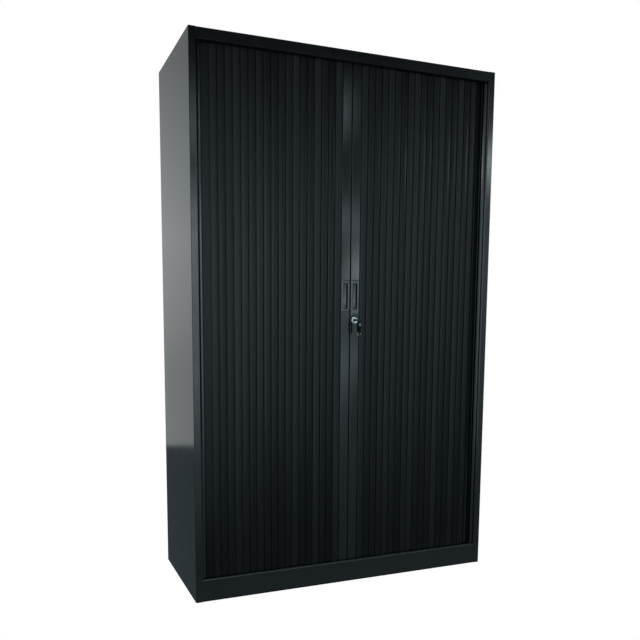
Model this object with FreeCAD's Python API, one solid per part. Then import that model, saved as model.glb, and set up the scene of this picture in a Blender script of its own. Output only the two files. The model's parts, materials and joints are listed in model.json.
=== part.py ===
import FreeCAD, Part
import math
import os

# A tall tool cabinet with a roll front: two slatted curtains meet in the middle and roll round the corners.
# Millimetres, +Z up, front towards -Y. The origin is on the floor, under the middle of the carcass.

Vector = FreeCAD.Vector

# Carcass
cabinet_width = 1200.0
cabinet_depth = 500.0
cabinet_height = 1950.0
skin = 1.0
bend_inside = 1.2
post_width = 28.0
post_lip = 12.0
post_return = 11.0
post_edge_inside = 4.0
post_root_inside = 6.0
rear_return = 18.0
end_flange = 16.0
top_rail_height = 38.0
top_rail_lap = 20.0
plinth_height = 80.0
plinth_foot = 20.0
rail_ledge = 12.0
rail_lip = 10.0
tray_flange = 40.0
seat_gap = 0.3
cut_overrun = 1.0
same_place = 0.000001

# Pressed swages of the back panel
swage_depth = 0.8
swage_width = 46.0
swage_slope = 5.0
swage_place_shares = (-0.55, 0.0, 0.55)

# Tracks for the curtains
door_recess = 15.0
track_height = 14.0
track_web = 2.0
track_wall = 1.5
groove_width = 11.0
side_setback = 15.0
back_clearance = 4.0
track_bend_radius = 50.0
groove_inner_radius = 48.0
back_run_length = 60.0
centre_stop_width = 2.0
centre_stop_height = 8.0

# Curtain slats
usual_slat_pitch = 27.0
last_hinge_before_bend = 2.4
slats_in_bend = 3
slat_thickness = 8.0
slat_crown = 0.6
slat_wall = 1.2
slat_groove = 2.3
slat_lift = 3.0
hinge_setback = 1.2
bead_radius = 1.5
neck_thickness = 1.1
socket_clearance = 0.25
socket_cover = 1.9
mouth_front_deg = 153.0
mouth_rear_deg = 239.0
bead_steps = 4
socket_steps = 5

# Leading stiles
centre_gap = 4.0
stile_width = 35.0
stile_depth = 16.0
stile_wall = 2.0
stile_edge_radius = 1.5
stile_track_gap = 2.0
buffer_stand = 1.6
buffer_width = 6.0
buffer_setback = 5.0
glide_flange = 1.5
glide_side_gap = 2.0
glide_plug_length = 20.0
glide_fit = 0.2

# Flush handles
handle_plate_stand = 1.2
handle_plate_width = 33.0
handle_plate_radius = 2.0
handle_plate_top_rise = 148.0
handle_plate_rise = 32.0
lock_plate_rise = 16.0
pocket_width = 18.0
pocket_height = 92.0
pocket_rise = 42.0
pocket_depth = 11.0
pocket_radius = 3.0
pocket_wall = 1.4
cutout_clearance = 0.3

# Lock in the right stile
lock_height = 1002.0
lock_barrel_radius = 9.5
lock_barrel_past_stile = 5.5
lock_bezel_radius = 13.0
lock_bezel_stand = 2.5
lock_bezel_chamfer = 1.0
lock_core_radius = 6.3
running_fit = 0.05
lock_nut_across = 24.0
lock_nut_thickness = 3.5
keyway_clearance = 0.2
keyway_depth = 16.0
cam_gap = 0.8
cam_thickness = 2.0
cam_half_width = 5.0
cam_heel = 8.0
cam_reach = 31.0
cam_nose_width = 5.0
cam_nose_length = 14.0
cam_throat_radius = 1.5
cam_corner_radius = 2.0

# Keeper on the left stile
keeper_pin_reach = 27.0
keeper_pin_rise = 8.1
keeper_pin_radius = 2.5
keeper_pin_length = 7.5
keeper_plate_thickness = 2.0
keeper_plate_width = 24.0
keeper_plate_height = 44.0

# Folding key
key_blade_thickness = 2.0
key_blade_height = 8.0
key_blade_inset = 1.0
key_pivot_stand = 37.0
key_eye_radius = 5.0
key_pin_radius = 1.5
collar_width = 9.0
collar_slot = 2.8
collar_top_half_depth = 6.5
collar_half_depth = 9.0
collar_shoulder_drop = 9.0
collar_bridge_drop = 12.0
collar_drop = 23.0
collar_radius = 3.0
collar_top_radius = 6.0
grip_thickness = 7.0
grip_half_depth = 10.0
grip_length = 25.0
grip_radius = 6.0
grip_hole_radius = 2.5
grip_hole_rise = 5.0
ring_outer_radius = 6.8
ring_wire = 1.6
ring_sides = 14

# Inner lining
liner_setback = 25.0
liner_front = 72.0
liner_flange = 30.0
liner_lip = 8.0
liner_corner_radius = 46.0
liner_lap = 24.0
inner_back_overlap = 20.0
slot_width = 5.0
slot_height = 12.0
slot_pitch = 120.0
slot_first = 190.0
slot_top_drop = 70.0
slot_front_column = 110.0
slot_rear_column = 400.0

# Deck, shelves and clips
deck_track_gap = 3.0
deck_corner_cut = 16.0
shelf_lip_gap = 2.0
shelf_rear_gap = 1.2
shelf_side_gap = 0.6
shelf_front_height = 25.0
shelf_front_return = 15.0
shelf_front_lip = 8.0
shelf_side_flange = 20.0
shelf_count = 4
first_shelf_slot = 2
slots_per_shelf = 3
clip_thickness = 1.5
clip_ledge = 12.0
clip_width = 18.0
clip_height = 16.0
clip_bend_radius = 1.0
clip_tab_width = 4.4
clip_tab_drop = 2.5
clip_hook_length = 6.0

# Levelling feet
foot_inset_x = 80.0
foot_inset_y = 90.0
foot_stud_radius = 5.0
foot_stud_top = 74.0
foot_stud_bottom = 3.0
foot_pad_radius = 20.0
foot_pad_rim = 4.0
foot_pad_neck_radius = 8.5
foot_pad_height = 11.0
foot_nut_across = 17.0
foot_nut_height = 15.0
small_round_sides = 12

# Places that follow from the sizes
front_y = -cabinet_depth / 2
rear_y = cabinet_depth / 2
right_x = cabinet_width / 2
opening_x = right_x - post_width
opening_top = cabinet_height - top_rail_height
back_inner_y = rear_y - 2 * skin
tray_top = plinth_height - track_height
ceiling = opening_top + track_height
bend_outside = bend_inside + skin
post_edge_outside = post_edge_inside + skin
rail_half_x = opening_x + post_edge_outside - seat_gap

groove_half = groove_width / 2
track_half = groove_half + track_wall
slat_half = slat_thickness / 2
run_y = front_y + door_recess + slat_half
run_x = right_x - side_setback
back_run_y = back_inner_y - back_clearance - track_half
bend_x = run_x - track_bend_radius
bend_y = run_y + track_bend_radius

half_gap = centre_gap / 2
stile_x = half_gap + stile_width
stile_mid_x = half_gap + stile_width / 2
stile_front_y = front_y + door_recess
stile_rear_y = stile_front_y + stile_depth
stile_bottom = plinth_height + stile_track_gap
stile_top = opening_top - stile_track_gap

socket_radius = bead_radius + socket_clearance
socket_outer_radius = slat_half - hinge_setback
hinge_y = run_y + hinge_setback
hinge_bend_radius = track_bend_radius - hinge_setback
first_hinge_x = stile_x + slat_groove + socket_cover
last_hinge_x = bend_x - last_hinge_before_bend
slats_on_front = round((last_hinge_x - first_hinge_x) / usual_slat_pitch)
slat_pitch = (last_hinge_x - first_hinge_x) / slats_on_front
slat_bottom = tray_top + track_web + seat_gap
slat_top = ceiling - track_web - slat_lift

liner_x = right_x - liner_setback
liner_inner_x = liner_x - skin
liner_front_y = front_y + liner_front
liner_rear_y = back_run_y - track_half - skin
shelf_half_x = liner_inner_x - shelf_side_gap
shelf_front_y = liner_front_y + liner_lip + shelf_lip_gap
shelf_rear_y = liner_rear_y - skin - shelf_rear_gap
shelf_corner_x = liner_x - liner_corner_radius
shelf_corner_y = liner_rear_y - liner_corner_radius

lock_front_y = stile_front_y - lock_bezel_stand
lock_rear_y = stile_rear_y + lock_barrel_past_stile
cam_front_y = lock_rear_y + cam_gap
cam_rear_y = cam_front_y + cam_thickness
key_pivot_y = stile_front_y - key_pivot_stand
handle_plate_top = lock_height + handle_plate_top_rise
pocket_bottom = lock_height + pocket_rise
collar_base = lock_height - collar_drop
grip_hole_level = collar_base - grip_length + grip_hole_rise
keeper_x = stile_mid_x - keeper_pin_reach
keeper_level = lock_height + keeper_pin_rise

foot_places = [
    (side * (right_x - foot_inset_x), end * (rear_y - foot_inset_y))
    for side in (-1, 1)
    for end in (-1, 1)
]


# Shape helpers
def to_space(plane, a, b, level):
    """Place in space of a flat point, with its level along the normal of the plane."""
    if plane == "xy":
        return Vector(a, b, level)
    if plane == "yz":
        return Vector(level, a, b)
    return Vector(a, level, b)


def corner_arc(before, corner, after, radius):
    """First, middle and last point of the arc that rounds a corner."""
    to_before = (before - corner).normalize()
    to_after = (after - corner).normalize()
    half_angle = to_before.getAngle(to_after) / 2
    reach = radius / math.tan(half_angle)
    inwards = (to_before + to_after).normalize()
    middle = corner + inwards * (radius / math.sin(half_angle) - radius)
    return corner + to_before * reach, middle, corner + to_after * reach


def rounded_wire(points, radii, plane, level):
    """Closed wire through flat points, with each corner rounded by its own radius."""
    corners = [to_space(plane, a, b, level) for a, b in points]
    stops = []
    for index, corner in enumerate(corners):
        before = corners[index - 1]
        after = corners[(index + 1) % len(corners)]
        if radii[index] > 0:
            stops.append(corner_arc(before, corner, after, radii[index]))
        else:
            stops.append((corner, None, corner))
    edges = []
    for index, (arrive, middle, leave) in enumerate(stops):
        if middle is not None:
            edges.append(Part.Arc(arrive, middle, leave).toShape())
        following = stops[(index + 1) % len(stops)][0]
        if not leave.isEqual(following, same_place):
            edges.append(Part.makeLine(leave, following))
    return Part.Wire(edges)


def prism(points, plane, start, end, radii=None):
    """Solid of a flat outline between two levels along the normal of its plane."""
    if radii is None:
        radii = [0] * len(points)
    face = Part.Face(rounded_wire(points, radii, plane, start))
    return face.extrude(to_space(plane, 0, 0, end - start))


def offset_left(line, thickness):
    """The points of an open line, moved to its left by a thickness."""
    moved = []
    for index, (a, b) in enumerate(line):
        normals = []
        for first, last in ((index - 1, index), (index, index + 1)):
            if first < 0 or last >= len(line):
                continue
            along_a = line[last][0] - line[first][0]
            along_b = line[last][1] - line[first][1]
            length = math.hypot(along_a, along_b)
            normals.append((-along_b / length, along_a / length))
        sum_a = sum(normal[0] for normal in normals)
        sum_b = sum(normal[1] for normal in normals)
        stretch = len(normals) * thickness / (sum_a * sum_a + sum_b * sum_b)
        moved.append((a + sum_a * stretch, b + sum_b * stretch))
    return moved


def turns_left(before, corner, after):
    """Whether a line turns to its left at a corner."""
    in_a = corner[0] - before[0]
    in_b = corner[1] - before[1]
    out_a = after[0] - corner[0]
    out_b = after[1] - corner[1]
    return in_a * out_b - in_b * out_a > 0


def folded_sheet(line, plane, start, end, inside_radii=None):
    """Sheet of one skin to the left of an open line, folded with round bends at its corners."""
    count = len(line)
    if inside_radii is None:
        inside_radii = [bend_inside] * count
    line_radii = [0] * count
    offset_radii = [0] * count
    for index in range(1, count - 1):
        inner = inside_radii[index]
        outer = inner + skin if inner > 0 else 0
        left = turns_left(line[index - 1], line[index], line[index + 1])
        line_radii[index] = outer if left else inner
        offset_radii[index] = inner if left else outer
    points = line + offset_left(line, skin)[::-1]
    return prism(points, plane, start, end, line_radii + offset_radii[::-1])


def block(low_x, high_x, low_y, high_y, low_z, high_z):
    """Rectangular block between two corners."""
    corner = Vector(low_x, low_y, low_z)
    return Part.makeBox(high_x - low_x, high_y - low_y, high_z - low_z, corner)


def rod(x, y, z, axis, radius, length):
    """Round rod that starts at a place and runs along an axis."""
    return Part.makeCylinder(radius, length, Vector(x, y, z), axis)


def turned(profile, plane, centre_x, centre_y, centre_z, axis):
    """Solid turned about an axis from a profile of radii and levels."""
    centre = Vector(centre_x, centre_y, centre_z)
    if plane == "xy":
        points = [centre + Vector(radius, level, 0) for radius, level in profile]
    else:
        points = [centre + Vector(radius, 0, level) for radius, level in profile]
    wire = Part.makePolygon(points + [points[0]])
    return Part.Face(wire).revolve(centre, axis)


def hexagon(across, plane, centre_a, centre_b):
    """Corners of a hexagon of a given size across its flats."""
    radius = across / math.sqrt(3)
    angles = [math.radians(60 * turn) for turn in range(6)]
    return [(centre_a + radius * math.cos(turn), centre_b + radius * math.sin(turn)) for turn in angles]


def rectangle(low_a, high_a, low_b, high_b):
    """Corners of a rectangle."""
    return [(low_a, low_b), (high_a, low_b), (high_a, high_b), (low_a, high_b)]


def ring_points(centre_a, centre_b, radius, start_deg, end_deg, steps):
    """Evenly spaced points on an arc."""
    points = []
    for step in range(steps + 1):
        angle = math.radians(start_deg + (end_deg - start_deg) * step / steps)
        points.append((centre_a + radius * math.cos(angle), centre_b + radius * math.sin(angle)))
    return points


def small_round(x, y, low, high, radius):
    """Upright round bar of few sides, for pieces and holes that repeat."""
    return prism(ring_points(x, y, radius, 0, 360, small_round_sides)[:-1], "xy", low, high)


def few_sided_turn(x, y, profile):
    """Upright turned piece of few sides, from a profile of radii and levels, closed at both ends."""
    rings = []
    for radius, level in profile:
        ring = ring_points(x, y, radius, 0, 360, small_round_sides)
        rings.append([Vector(ring_x, ring_y, level) for ring_x, ring_y in ring])
    faces = [Part.Face(Part.makePolygon(ring)) for ring in (rings[0], rings[-1])]
    for ring, following in zip(rings, rings[1:]):
        for side in range(small_round_sides):
            corners = [ring[side], ring[side + 1], following[side + 1], following[side], ring[side]]
            faces.append(Part.Face(Part.makePolygon(corners)))
    return Part.Solid(Part.Shell(faces)).removeSplitter()


def mirrored(shape):
    """The same piece on the other side of the cabinet."""
    return shape.mirror(Vector(0, 0, 0), Vector(1, 0, 0))


def group(shapes):
    """Separate solids that share one node."""
    return Part.makeCompound(shapes)


def write(name, shape):
    shape.exportStep(os.path.join("parts", name + ".step"))


AXIS_X = Vector(1, 0, 0)
AXIS_Y = Vector(0, 1, 0)
AXIS_Z = Vector(0, 0, 1)


# Carcass
def side_panel():
    """Right side: outer wall, front post with its stepped lip, rear return, and flanges at both ends.

    The lip is notched at the plinth and at the top rail, which both butt against the face of the post.
    """
    line = [
        (opening_x - post_return, front_y + post_lip),
        (opening_x, front_y + post_lip),
        (opening_x, front_y),
        (right_x, front_y),
        (right_x, rear_y),
        (right_x - rear_return, rear_y),
    ]
    inside = [0, post_root_inside, post_edge_inside, bend_inside, bend_inside, 0]
    wall = folded_sheet(line, "xy", 0, cabinet_height - skin, inside)
    notch_x = opening_x + post_edge_outside
    notch_y = front_y + post_lip + skin
    wall = wall.cut([
        block(opening_x - post_return - cut_overrun, notch_x, front_y - cut_overrun, notch_y + cut_overrun,
              low, high)
        for low, high in ((-cut_overrun, plinth_height + seat_gap), (opening_top - seat_gap, cabinet_height))
    ])
    flange_low_x = right_x - skin - end_flange
    flange_low_y = front_y + post_lip + seat_gap
    flange_high_y = back_inner_y - seat_gap
    inner_x = right_x - skin
    top = block(flange_low_x, inner_x, flange_low_y, flange_high_y,
                cabinet_height - 2 * skin, cabinet_height - skin)
    foot = block(flange_low_x, inner_x, flange_low_y, flange_high_y, 0, skin)
    return wall.fuse([top, foot]).removeSplitter()


def top_panel():
    """Top sheet with the front rail folded down between the posts and turned in below."""
    join_y = front_y + top_rail_lap
    outline = [
        (-right_x, front_y), (-rail_half_x, front_y), (-rail_half_x, join_y), (rail_half_x, join_y),
        (rail_half_x, front_y), (right_x, front_y), (right_x, rear_y), (-right_x, rear_y),
    ]
    radii = [bend_outside, 0, 0, 0, 0, bend_outside, bend_outside, bend_outside]
    sheet = prism(outline, "xy", cabinet_height - skin, cabinet_height, radii)
    line = [
        (join_y, cabinet_height),
        (front_y, cabinet_height),
        (front_y, opening_top),
        (front_y + rail_ledge, opening_top),
        (front_y + rail_ledge, opening_top + rail_lip),
    ]
    rail = folded_sheet(line, "yz", -rail_half_x, rail_half_x)
    return sheet.fuse(rail).removeSplitter()


def plinth():
    """Front plinth between the posts, with a ledge below the curtains, a foot and end flanges."""
    line = [
        (front_y + rail_ledge, tray_top),
        (front_y + rail_ledge, plinth_height),
        (front_y, plinth_height),
        (front_y, 0),
        (front_y + plinth_foot, 0),
    ]
    sheet = folded_sheet(line, "yz", -rail_half_x, rail_half_x)
    flange = block(rail_half_x - skin, rail_half_x, front_y + skin, front_y + post_lip,
                   skin, tray_top - tray_flange - seat_gap)
    return sheet.fuse([flange, mirrored(flange)]).removeSplitter()


def pan_outline(inset):
    """Plan of the floor and ceiling pans."""
    half_x = right_x - skin - seat_gap - inset
    return rectangle(-half_x, half_x, front_y + skin + seat_gap + inset, back_inner_y - inset)


def floor_pan():
    """Tray under the tracks, open below, with holes for the studs of the feet."""
    low = tray_top - tray_flange
    pan = prism(pan_outline(0), "xy", low, tray_top)
    pan = pan.cut(prism(pan_outline(skin), "xy", low - cut_overrun, tray_top - skin))
    hole_radius = foot_stud_radius + cutout_clearance
    return pan.cut([
        small_round(x, y, tray_top - skin - cut_overrun, tray_top + cut_overrun, hole_radius)
        for x, y in foot_places
    ])


def ceiling_pan():
    """Pan that carries the upper tracks, open above and closed by the top sheet."""
    high = cabinet_height - 2 * skin
    pan = prism(pan_outline(0), "xy", ceiling, high)
    return pan.cut(prism(pan_outline(skin), "xy", ceiling + skin, high + cut_overrun))


def back_panel():
    """Flat back sheet with shallow pressed swages."""
    half_x = right_x - bend_outside - seat_gap
    inner = back_inner_y
    line = [(-half_x, inner)]
    for share in swage_place_shares:
        middle = share * half_x
        half = swage_width / 2
        line += [
            (middle - half, inner), (middle - half + swage_slope, inner + swage_depth),
            (middle + half - swage_slope, inner + swage_depth), (middle + half, inner),
        ]
    line.append((half_x, inner))
    return folded_sheet(line, "xy", skin, cabinet_height - 2 * skin, [0] * len(line))


# Tracks
def track_outline(half, outer_radius, inner_radius):
    """Plan of a track or its groove: along the front, round the corner, down the side, behind the lining."""
    end_x = bend_x - back_run_length
    points = [
        (0, run_y - half), (run_x + half, run_y - half),
        (run_x + half, back_run_y + half), (end_x, back_run_y + half),
        (end_x, back_run_y - half), (run_x - half, back_run_y - half),
        (run_x - half, run_y + half), (0, run_y + half),
    ]
    radii = [0, outer_radius, outer_radius, 0, 0, inner_radius, inner_radius, 0]
    return points, radii


def track(low, high, groove_low, groove_high):
    """One grooved track for the right curtain."""
    points, radii = track_outline(track_half, 0, groove_inner_radius - track_wall)
    body = prism(points, "xy", low, high, radii)
    points, radii = track_outline(groove_half, track_bend_radius + groove_half, groove_inner_radius)
    return body.cut(prism(points, "xy", groove_low, groove_high, radii))


def bottom_track():
    return track(tray_top, plinth_height, tray_top + track_web, plinth_height + cut_overrun)


def top_track():
    return track(opening_top, ceiling, opening_top - cut_overrun, ceiling - track_web)


def centre_stops():
    """Stops in the grooves where the two stiles meet."""
    half = centre_stop_width / 2
    low = tray_top + track_web
    high = ceiling - track_web
    return group([
        block(-half, half, run_y - groove_half, run_y + groove_half, low, low + centre_stop_height),
        block(-half, half, run_y - groove_half, run_y + groove_half, high - centre_stop_height, high),
    ])


# Curtain of interlocking slats
def bead_outline(centre_x, centre_y, from_x):
    """Neck and round bead that reach from a wall into the socket of the next slat."""
    half_neck = neck_thickness / 2
    neck_deg = math.degrees(math.asin(half_neck / bead_radius))
    bead = ring_points(centre_x, centre_y, bead_radius, 180 - neck_deg, neck_deg - 180, bead_steps)
    return [(from_x, centre_y + half_neck)] + bead + [(from_x, centre_y - half_neck)]


def slat_section():
    """Section of one hollow slat, with its socket at the origin and its front towards -Y."""
    front = -(slat_half + hinge_setback)
    rear = socket_outer_radius
    edge = front + slat_crown
    end_x = slat_pitch - socket_cover - slat_groove
    mouth_slope = math.tan(math.radians(180 - mouth_front_deg))
    outer = ring_points(0, 0, socket_outer_radius, 90, 360 - mouth_rear_deg, 1)
    inner = ring_points(0, 0, socket_radius, 360 - mouth_rear_deg, -mouth_front_deg, socket_steps)
    outline = (
        [(-socket_cover, edge), (-socket_cover, -socket_cover * mouth_slope)]
        + inner[::-1] + outer[::-1] + [(end_x, rear)]
        + bead_outline(slat_pitch, 0, end_x) + [(end_x, edge)]
    )
    points = [Vector(x, y, 0) for x, y in outline]
    crown = Part.Arc(points[-1], Vector((end_x - socket_cover) / 2, front, 0), points[0]).toShape()
    face = Part.Face(Part.Wire(Part.makePolygon(points).Edges + [crown]))
    hollow = rectangle(
        socket_outer_radius + slat_wall, end_x - slat_wall,
        edge + slat_wall, rear - slat_wall,
    )
    return face.cut(Part.Face(rounded_wire(hollow, [0] * len(hollow), "xy", 0)))


def slat_at(section, x, y, turn_deg):
    """One slat with its socket at a place, turned with the curtain."""
    moved = section.copy()
    moved.rotate(Vector(0, 0, 0), AXIS_Z, turn_deg)
    moved.translate(Vector(x, y, slat_bottom))
    return moved.extrude(Vector(0, 0, slat_top - slat_bottom))


def front_slats():
    """The slats of the right curtain that close the opening."""
    section = slat_section()
    return group([
        slat_at(section, first_hinge_x + index * slat_pitch, hinge_y, 0)
        for index in range(slats_on_front)
    ])


def bend_slats():
    """The slats that wait in the bend, each a chord between two points of the bend."""
    section = slat_section()
    reach = math.hypot(last_hinge_before_bend, hinge_bend_radius)
    share = (reach ** 2 + hinge_bend_radius ** 2 - slat_pitch ** 2) / (2 * reach * hinge_bend_radius)
    turn = math.acos(share) - math.atan2(last_hinge_before_bend, hinge_bend_radius)
    chord_turn = 2 * math.asin(slat_pitch / (2 * hinge_bend_radius))
    places = [(last_hinge_x, hinge_y)]
    for index in range(slats_in_bend):
        angle = turn + index * chord_turn
        places.append((
            bend_x + hinge_bend_radius * math.sin(angle),
            bend_y - hinge_bend_radius * math.cos(angle),
        ))
    slats = []
    for (x, y), (next_x, next_y) in zip(places, places[1:]):
        turn_deg = math.degrees(math.atan2(next_y - y, next_x - x))
        slats.append(slat_at(section, x, y, turn_deg))
    return group(slats)


# Leading stiles
def stile():
    """Hollow leading stile of the right curtain, with a bead for the first slat."""
    wall_points = bead_outline(first_hinge_x, hinge_y, stile_x)[::-1]
    outline = (
        [(half_gap, stile_rear_y), (half_gap, stile_front_y), (stile_x, stile_front_y)]
        + wall_points + [(stile_x, stile_rear_y)]
    )
    edge = stile_edge_radius
    radii = [0, edge, edge] + [0] * (len(wall_points) + 1)
    body = prism(outline, "xy", stile_bottom, stile_top, radii)
    hollow = rectangle(half_gap + stile_wall, stile_x - stile_wall,
                       stile_front_y + stile_wall, stile_rear_y - stile_wall)
    core = prism(hollow, "xy", stile_bottom - cut_overrun, stile_top + cut_overrun)
    return body.cut([core, pocket_prism(pocket_wall + cutout_clearance, 0, stile_front_y - cut_overrun,
                                        stile_front_y + stile_wall + cut_overrun)])


def right_stile():
    """The right stile is drilled through for the lock."""
    hole = rod(stile_mid_x, stile_front_y - cut_overrun, lock_height, AXIS_Y,
               lock_barrel_radius + running_fit, stile_depth + 2 * cut_overrun)
    return stile().cut(hole)


def pocket_prism(margin, radius, low_y, high_y):
    """Block of the finger pocket's outline, grown by a margin."""
    half = pocket_width / 2 + margin
    outline = rectangle(stile_mid_x - half, stile_mid_x + half,
                        pocket_bottom - margin, pocket_bottom + pocket_height + margin)
    return prism(outline, "xz", low_y, high_y, [radius] * len(outline))


def flush_handle(plate_rise):
    """Handle plate with its finger pocket, let into the face of the right stile."""
    half = handle_plate_width / 2
    outline = rectangle(stile_mid_x - half, stile_mid_x + half,
                        lock_height + plate_rise, handle_plate_top)
    plate = prism(outline, "xz", stile_front_y - handle_plate_stand, stile_front_y,
                  [handle_plate_radius] * len(outline))
    shell = pocket_prism(pocket_wall, 0, stile_front_y, stile_front_y + pocket_depth + pocket_wall)
    cavity = pocket_prism(0, pocket_radius, stile_front_y - handle_plate_stand - cut_overrun,
                          stile_front_y + pocket_depth)
    return plate.fuse(shell).cut(cavity).removeSplitter()


def stile_glides():
    """End blocks of the right stile, each plugged into it and running in a groove."""
    low_x = half_gap + glide_side_gap
    high_x = stile_x - glide_side_gap
    inset = stile_wall + glide_fit
    plug = rectangle(half_gap + inset, stile_x - inset, stile_front_y + inset, stile_rear_y - inset)
    flange = rectangle(low_x, high_x, stile_front_y, stile_rear_y)
    tongue = rectangle(low_x, high_x, run_y - slat_half, run_y + slat_half)
    glides = []
    for face, into, tip in ((stile_bottom, 1, slat_bottom), (stile_top, -1, slat_top)):
        shoulder = face - into * glide_flange
        glide = prism(plug, "xy", face, face + into * glide_plug_length)
        glide = glide.fuse([
            prism(flange, "xy", shoulder, face),
            prism(tongue, "xy", tip, shoulder),
        ])
        glides.append(glide.removeSplitter())
    return group(glides)


def stile_buffer():
    """Soft strip on the leading edge of the right stile."""
    low_y = stile_front_y + buffer_setback
    outline = rectangle(half_gap - buffer_stand, half_gap, low_y, low_y + buffer_width)
    return prism(outline, "xy", stile_bottom, stile_top, [buffer_stand / 2, 0, 0, buffer_stand / 2])


# Lock
def lock_housing():
    """Bezel and barrel in one piece, bored for the turning core."""
    bore = lock_core_radius + running_fit
    shoulder = lock_bezel_stand
    rear = shoulder + lock_rear_y - stile_front_y
    profile = [
        (bore, 0), (lock_bezel_radius - lock_bezel_chamfer, 0), (lock_bezel_radius, lock_bezel_chamfer),
        (lock_bezel_radius, shoulder), (lock_barrel_radius, shoulder), (lock_barrel_radius, rear),
        (bore, rear),
    ]
    return turned(profile, "xy", stile_mid_x, lock_front_y, lock_height, AXIS_Y)


def lock_nut():
    """Nut that clamps the lock from inside."""
    outline = hexagon(lock_nut_across, "xz", stile_mid_x, lock_height)
    nut = prism(outline, "xz", stile_rear_y, stile_rear_y + lock_nut_thickness)
    bore = rod(stile_mid_x, stile_rear_y - cut_overrun, lock_height, AXIS_Y,
               lock_barrel_radius + running_fit, lock_nut_thickness + 2 * cut_overrun)
    return nut.cut(bore)


def lock_core():
    """Turning core with its keyway in front, standing out behind to carry the cam."""
    core = rod(stile_mid_x, lock_front_y, lock_height, AXIS_Y, lock_core_radius,
               cam_front_y - lock_front_y)
    half_width = key_blade_thickness / 2 + keyway_clearance
    half_height = key_blade_height / 2 + keyway_clearance
    keyway = block(stile_mid_x - half_width, stile_mid_x + half_width,
                   lock_front_y - cut_overrun, lock_front_y + keyway_depth,
                   lock_height - half_height, lock_height + half_height)
    return core.cut(keyway)


def lock_cam():
    """Hooked cam that hangs down when unlocked and swings behind the keeper pin when locked."""
    half = cam_half_width
    nose_tip = cam_reach + cam_nose_width
    along = [
        (-cam_heel, -half), (-cam_heel, half), (cam_reach, half), (cam_reach, cam_nose_length),
        (nose_tip, cam_nose_length), (nose_tip, -half),
    ]
    outline = [(stile_mid_x - across, lock_height - reach) for reach, across in along]
    corner = cam_corner_radius
    radii = [corner, corner, cam_throat_radius, 0, corner, corner]
    return prism(outline, "xz", cam_front_y, cam_rear_y, radii)


def lock_keeper():
    """Plate on the rear of the left stile with the pin that the cam hooks behind."""
    high_x = -half_gap - glide_side_gap
    low_x = high_x - keeper_plate_width
    half_height = keeper_plate_height / 2
    outline = rectangle(low_x, high_x, keeper_level - half_height, keeper_level + half_height)
    plate = prism(outline, "xz", stile_rear_y, stile_rear_y + keeper_plate_thickness)
    pin = rod(keeper_x, stile_rear_y, keeper_level, AXIS_Y, keeper_pin_radius,
              keeper_plate_thickness + keeper_pin_length)
    return plate.fuse(pin)


# Folding key
def key_blade():
    """Blade in the keyway, ending in the eye that the folding head turns on."""
    half = key_blade_height / 2
    tip_y = lock_front_y + keyway_depth - key_blade_inset
    low_x = stile_mid_x - key_blade_thickness / 2
    high_x = stile_mid_x + key_blade_thickness / 2
    blade = block(low_x, high_x, key_pivot_y, tip_y, lock_height - half, lock_height + half)
    eye = rod(low_x, key_pivot_y, lock_height, AXIS_X, key_eye_radius, key_blade_thickness)
    hole = rod(low_x - cut_overrun, key_pivot_y, lock_height, AXIS_X, key_pin_radius + running_fit,
               key_blade_thickness + 2 * cut_overrun)
    return blade.fuse(eye).cut(hole).removeSplitter()


def key_pin():
    """Pin across the eye and the collar."""
    half = collar_width / 2
    return rod(stile_mid_x - half, key_pivot_y, lock_height, AXIS_X, key_pin_radius, collar_width)


def key_collar():
    """Forked metal collar of the head, hanging from the pin."""
    outline = [
        (key_pivot_y - collar_half_depth, collar_base),
        (key_pivot_y + collar_half_depth, collar_base),
        (key_pivot_y + collar_half_depth, lock_height - collar_shoulder_drop),
        (key_pivot_y + collar_top_half_depth, lock_height),
        (key_pivot_y + collar_top_half_depth, lock_height + collar_top_half_depth),
        (key_pivot_y - collar_top_half_depth, lock_height + collar_top_half_depth),
        (key_pivot_y - collar_top_half_depth, lock_height),
        (key_pivot_y - collar_half_depth, lock_height - collar_shoulder_drop),
    ]
    top = collar_top_radius
    side = collar_radius
    radii = [0, 0, side, 0, top, top, 0, side]
    half = collar_width / 2
    body = prism(outline, "yz", stile_mid_x - half, stile_mid_x + half, radii)
    slot = block(
        stile_mid_x - collar_slot / 2, stile_mid_x + collar_slot / 2,
        key_pivot_y - collar_half_depth - cut_overrun, key_pivot_y + collar_half_depth + cut_overrun,
        lock_height - collar_bridge_drop, lock_height + collar_top_half_depth + cut_overrun,
    )
    hole = rod(stile_mid_x - half - cut_overrun, key_pivot_y, lock_height, AXIS_X,
               key_pin_radius + running_fit, collar_width + 2 * cut_overrun)
    return body.cut([slot, hole])


def key_grip():
    """Moulded grip below the collar, with a hole for a ring."""
    outline = rectangle(key_pivot_y - grip_half_depth, key_pivot_y + grip_half_depth,
                        collar_base - grip_length, collar_base)
    radii = [grip_radius, grip_radius, 0, 0]
    half = grip_thickness / 2
    grip = prism(outline, "yz", stile_mid_x - half, stile_mid_x + half, radii)
    hole = rod(stile_mid_x - half - cut_overrun, key_pivot_y, grip_hole_level, AXIS_X,
               grip_hole_radius, grip_thickness + 2 * cut_overrun)
    return grip.cut(hole)


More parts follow.
